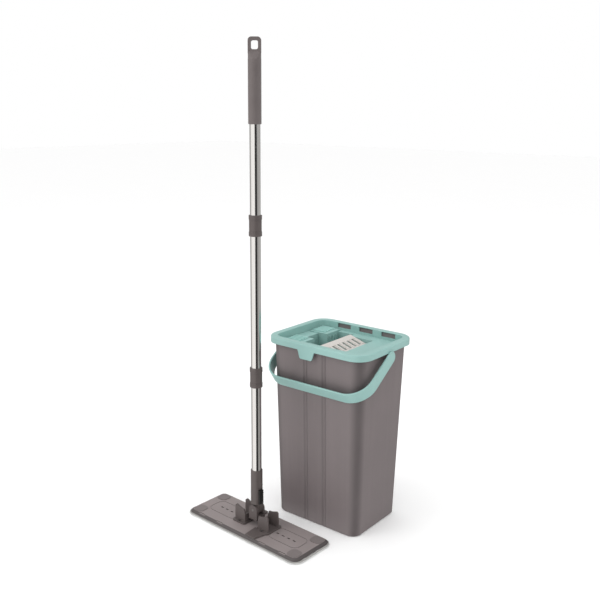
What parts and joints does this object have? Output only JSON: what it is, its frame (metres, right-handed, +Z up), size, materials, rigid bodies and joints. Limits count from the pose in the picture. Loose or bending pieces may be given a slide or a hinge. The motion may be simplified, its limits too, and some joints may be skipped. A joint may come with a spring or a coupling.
{
  "type": "mop and bucket with wringer",
  "caption": "Upright rectangular bucket with a lift-off wringer tray, a hinged scraper comb and a bail, and a flat mop with a jointed tubular handle.",
  "frame": {"origin": "centre of the bucket's base, on the floor", "axes": "+Z up; +X along the bucket's front face to its right; the bucket's front faces -Y"},
  "size_m": [0.3989, 0.3558, 1.0506],
  "materials": {
    "taupe": "moulded polypropylene, fine satin grain",
    "mint": "moulded polypropylene, soft satin gloss",
    "comb_grey": "moulded plastic, light warm grey, satin",
    "plate_taupe": "moulded ABS, fine grain",
    "sole_black": "moulded plastic, rough",
    "bumper": "soft thermoplastic rubber",
    "hook": "woven hook strip",
    "microfibre": "looped white microfibre",
    "catch": "moulded plastic, ribbed grip",
    "tube_steel": "polished stainless tube",
    "pin_steel": "turned steel pin",
    "grip_taupe": "soft-touch grip"
  },
  "bodies": {
    "bucket": {"bucket_body": "taupe"},
    "bail": {"bail_handle": "mint"},
    "collar_unit": {"collar": "mint", "wringer_tray": "mint", "slot_chute": "mint", "comb_pin": "pin_steel"},
    "comb": {"wringer_comb": "comb_grey"},
    "mop_head": {"mop_pad": "microfibre", "hook_strips": "hook", "plate_sole": "sole_black", "mop_plate": "plate_taupe", "corner_bumpers": "bumper", "left_bracket": "plate_taupe", "right_bracket": "plate_taupe", "bracket_screws": "pin_steel", "tilt_pin": "pin_steel"},
    "yoke_unit": {"yoke": "taupe", "fold_pin": "pin_steel"},
    "handle": {"handle_socket": "taupe", "lower_tube": "tube_steel", "middle_tube": "tube_steel", "upper_tube": "tube_steel", "lower_sleeve": "taupe", "upper_sleeve": "taupe", "lower_coupler": "sole_black", "upper_coupler": "sole_black", "grip": "grip_taupe"},
    "catch": {"lock_catch": "catch"}
  },
  "joints": [
    {"name": "bail_swing", "type": "hinge", "parent": "bucket", "child": "bail", "pos_m": [0, 0, 0.4], "axis": [-1, 0, 0], "range_deg": [0, 246]},
    {"name": "collar_lift", "type": "slide", "parent": "bucket", "child": "collar_unit", "axis": [0, 0, 1], "range_m": [0, 0.12]},
    {"name": "comb_flip", "type": "hinge", "parent": "collar_unit", "child": "comb", "pos_m": [0.033, 0, 0.395], "axis": [0, 1, 0], "range_deg": [0, 95]},
    {"name": "mop_lift", "type": "slide", "parent": "bucket", "child": "mop_head", "axis": [0, 0, 1], "range_m": [0, 0.3]},
    {"name": "handle_tilt", "type": "hinge", "parent": "mop_head", "child": "yoke_unit", "pos_m": [-0.0895, -0.181, 0.0249], "axis": [0.9986, -0.0523, 0], "range_deg": [-2, 80]},
    {"name": "handle_fold", "type": "hinge", "parent": "yoke_unit", "child": "handle", "pos_m": [-0.0895, -0.181, 0.0472], "axis": [0.0523, 0.9986, 0], "range_deg": [-90, 0]},
    {"name": "catch_slide", "type": "slide", "parent": "handle", "child": "catch", "axis": [0, 0, 1], "range_m": [0, 0.006]}
  ]
}
